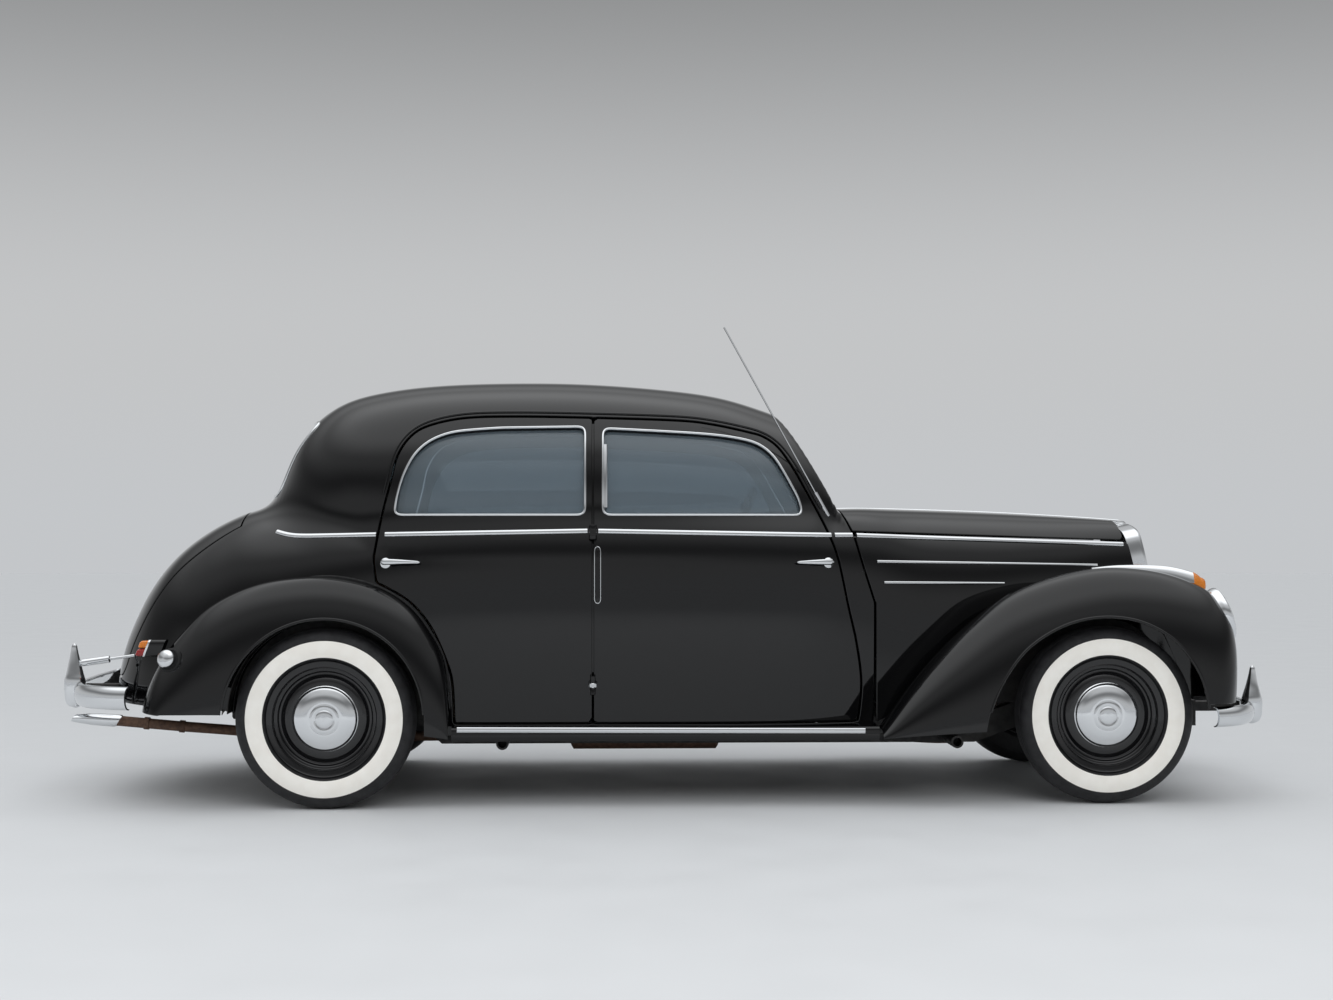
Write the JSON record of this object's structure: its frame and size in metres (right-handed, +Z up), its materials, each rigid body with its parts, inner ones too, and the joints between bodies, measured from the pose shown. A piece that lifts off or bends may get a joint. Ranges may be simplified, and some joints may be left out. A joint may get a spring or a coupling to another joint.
{
  "type": "vintage saloon car",
  "caption": "1950s-style saloon car with opening doors, folding hood halves, trunk lid, steered front wheels and free-rolling whitewall tyres.",
  "frame": {"origin": "on the ground below the middle of the overall length and width", "axes": "+X towards the nose, +Y towards the car's left side, +Z up"},
  "size_m": [4.505, 1.684, 1.7562],
  "materials": {
    "body_paint": "gloss",
    "chassis_black": "satin",
    "wheel_black": "gloss",
    "grille_black": "satin",
    "chrome": "polished",
    "glass": "polished",
    "tyre": "matt",
    "engine_iron": "rough",
    "exhaust_steel": "rusty",
    "seat_leather": "satin",
    "dash_wood": "varnished",
    "control_black": "gloss",
    "lamp_red": "gloss"
  },
  "bodies": {
    "car_body": {"frame": "chassis_black", "jack_sockets": "chassis_black", "floor_pan": "chassis_black", "body_shell": "body_paint", "door_posts": "body_paint", "running_boards": "body_paint", "front_apron": "body_paint", "radiator_shell": "chrome", "grille": "grille_black", "hood_sides": "body_paint", "hood_hinge": "chrome", "windscreen": "glass", "rear_window": "glass", "front_bumper": "chrome", "rear_bumper": "chrome", "front_suspension": "chassis_black", "rear_axle": "chassis_black", "engine": "engine_iron", "exhaust": "exhaust_steel", "front_seat": "seat_leather", "rear_seat": "seat_leather", "dashboard": "dash_wood", "steering_wheel": "control_black", "headlamps": "chrome", "indicators": "chrome", "tail_lamps": "lamp_red", "antenna": "chrome", "front_fender_right": "body_paint", "front_fender_left": "body_paint", "rear_fender_right": "body_paint", "rear_fender_left": "body_paint"},
    "front_door_right": {"front_door_right": "body_paint", "front_door_glass_right": "glass"},
    "rear_door_right": {"rear_door_right": "body_paint", "rear_door_glass_right": "glass"},
    "front_door_left": {"front_door_left": "body_paint", "front_door_glass_left": "glass"},
    "rear_door_left": {"rear_door_left": "body_paint", "rear_door_glass_left": "glass"},
    "hood_right": {"hood_right": "body_paint"},
    "hood_left": {"hood_left": "body_paint"},
    "trunk_lid": {"trunk_lid": "body_paint"},
    "knuckle_right": {"knuckle_right": "chassis_black"},
    "knuckle_left": {"knuckle_left": "chassis_black"},
    "front_wheel_right": {"front_wheel_right": "wheel_black", "front_tyre_right": "tyre"},
    "front_wheel_left": {"front_wheel_left": "wheel_black", "front_tyre_left": "tyre"},
    "rear_wheel_right": {"rear_wheel_right": "wheel_black", "rear_tyre_right": "tyre"},
    "rear_wheel_left": {"rear_wheel_left": "wheel_black", "rear_tyre_left": "tyre"}
  },
  "joints": [
    {"name": "front_door_right_hinge", "type": "hinge", "parent": "car_body", "child": "front_door_right", "pos_m": [-0.2865, -0.752, 0.441], "axis": [0, -0.0504, -0.9987], "range_deg": [0, 65]},
    {"name": "rear_door_right_hinge", "type": "hinge", "parent": "car_body", "child": "rear_door_right", "pos_m": [-0.2865, -0.752, 0.441], "axis": [0, 0.0504, 0.9987], "range_deg": [0, 65]},
    {"name": "front_door_left_hinge", "type": "hinge", "parent": "car_body", "child": "front_door_left", "pos_m": [-0.2865, 0.752, 0.441], "axis": [0, -0.0504, 0.9987], "range_deg": [0, 65]},
    {"name": "rear_door_left_hinge", "type": "hinge", "parent": "car_body", "child": "rear_door_left", "pos_m": [-0.2865, 0.752, 0.441], "axis": [0, 0.0504, -0.9987], "range_deg": [0, 65]},
    {"name": "hood_right_hinge", "type": "hinge", "parent": "car_body", "child": "hood_right", "pos_m": [0.764, 0, 1.1], "axis": [-0.999, 0, 0.0444], "range_deg": [0, 60]},
    {"name": "hood_left_hinge", "type": "hinge", "parent": "car_body", "child": "hood_left", "pos_m": [0.764, 0, 1.1], "axis": [0.999, 0, -0.0444], "range_deg": [0, 60]},
    {"name": "trunk_lid_hinge", "type": "hinge", "parent": "car_body", "child": "trunk_lid", "pos_m": [-1.6075, 0, 1.092], "axis": [0, 1, 0], "range_deg": [0, 60]},
    {"name": "steer_right", "type": "hinge", "parent": "car_body", "child": "knuckle_right", "pos_m": [1.5975, -0.568, 0.325], "axis": [0, 0, 1], "range_deg": [-30, 30]},
    {"name": "steer_left", "type": "hinge", "parent": "car_body", "child": "knuckle_left", "pos_m": [1.5975, 0.568, 0.325], "axis": [0, 0, 1], "range_deg": [-30, 30]},
    {"name": "front_wheel_right_spin", "type": "hinge", "parent": "knuckle_right", "child": "front_wheel_right", "pos_m": [1.5975, -0.658, 0.325], "axis": [0, 1, 0], "continuous": true},
    {"name": "front_wheel_left_spin", "type": "hinge", "parent": "knuckle_left", "child": "front_wheel_left", "pos_m": [1.5975, 0.658, 0.325], "axis": [0, 1, 0], "continuous": true},
    {"name": "rear_wheel_right_spin", "type": "hinge", "parent": "car_body", "child": "rear_wheel_right", "pos_m": [-1.2475, -0.718, 0.325], "axis": [0, 1, 0], "continuous": true},
    {"name": "rear_wheel_left_spin", "type": "hinge", "parent": "car_body", "child": "rear_wheel_left", "pos_m": [-1.2475, 0.718, 0.325], "axis": [0, 1, 0], "continuous": true}
  ],
  "couplings": [
    {"joint": "steer_left", "follows": "steer_right", "ratio": 1}
  ]
}
